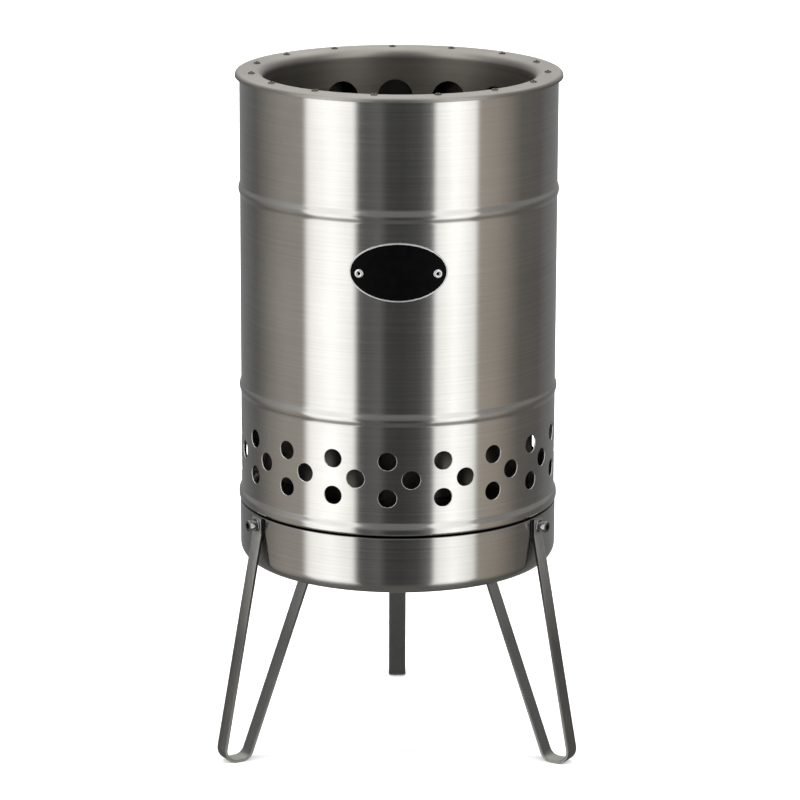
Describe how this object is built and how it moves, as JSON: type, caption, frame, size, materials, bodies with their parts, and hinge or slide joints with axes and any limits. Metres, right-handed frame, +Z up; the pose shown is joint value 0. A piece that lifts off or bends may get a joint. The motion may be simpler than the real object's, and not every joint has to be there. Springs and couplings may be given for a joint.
{
  "type": "fire barrel",
  "caption": "Double-walled stainless fire barrel with a riveted rim, air vents, a lift-out fire grate and an ash pan on bent flat-bar legs.",
  "frame": {"origin": "on the ground, on the barrel's axis, at the centre of the circle on which the three feet stand", "axes": "+Z up along the barrel's axis; the name plate faces -Y; the rear leg lies along +Y"},
  "size_m": [0.3252, 0.3291, 0.6193],
  "materials": {
    "casing_steel": "brushed round the barrel, glossy",
    "drum_steel": "brushed, satin",
    "pan_steel": "brushed round the pan, glossy",
    "leg_steel": "satin flat bar",
    "screw_steel": "bright",
    "rivet_steel": "satin",
    "rivet_pin": "dark, broken end",
    "plate_black": "black enamel with a bare metal edge",
    "grate_steel": "matt, darkened"
  },
  "bodies": {
    "stand": {"ash_pan": "pan_steel", "locating_ring": "drum_steel", "leg_front_left": "leg_steel", "leg_front_right": "leg_steel", "leg_rear": "leg_steel", "leg_side_screws": "screw_steel", "leg_side_lock_washers": "screw_steel", "leg_side_washers": "screw_steel", "leg_side_nuts": "screw_steel", "leg_base_screws": "screw_steel", "leg_base_washers": "screw_steel", "leg_base_nuts": "screw_steel"},
    "barrel": {"outer_casing": "casing_steel", "inner_drum": "drum_steel", "grate_support_ring": "drum_steel", "rim_rivets": "rivet_steel", "rim_rivet_pins": "rivet_pin", "name_plate": "plate_black", "name_plate_eyelets": "rivet_steel"},
    "grate": {"fire_grate": "grate_steel"}
  },
  "joints": [
    {"name": "barrel_lift", "type": "slide", "parent": "stand", "child": "barrel", "axis": [0, 0, 1], "range_m": [0, 0.12]},
    {"name": "grate_lift", "type": "slide", "parent": "barrel", "child": "grate", "axis": [0, 0, 1], "range_m": [0, 0.37]}
  ]
}
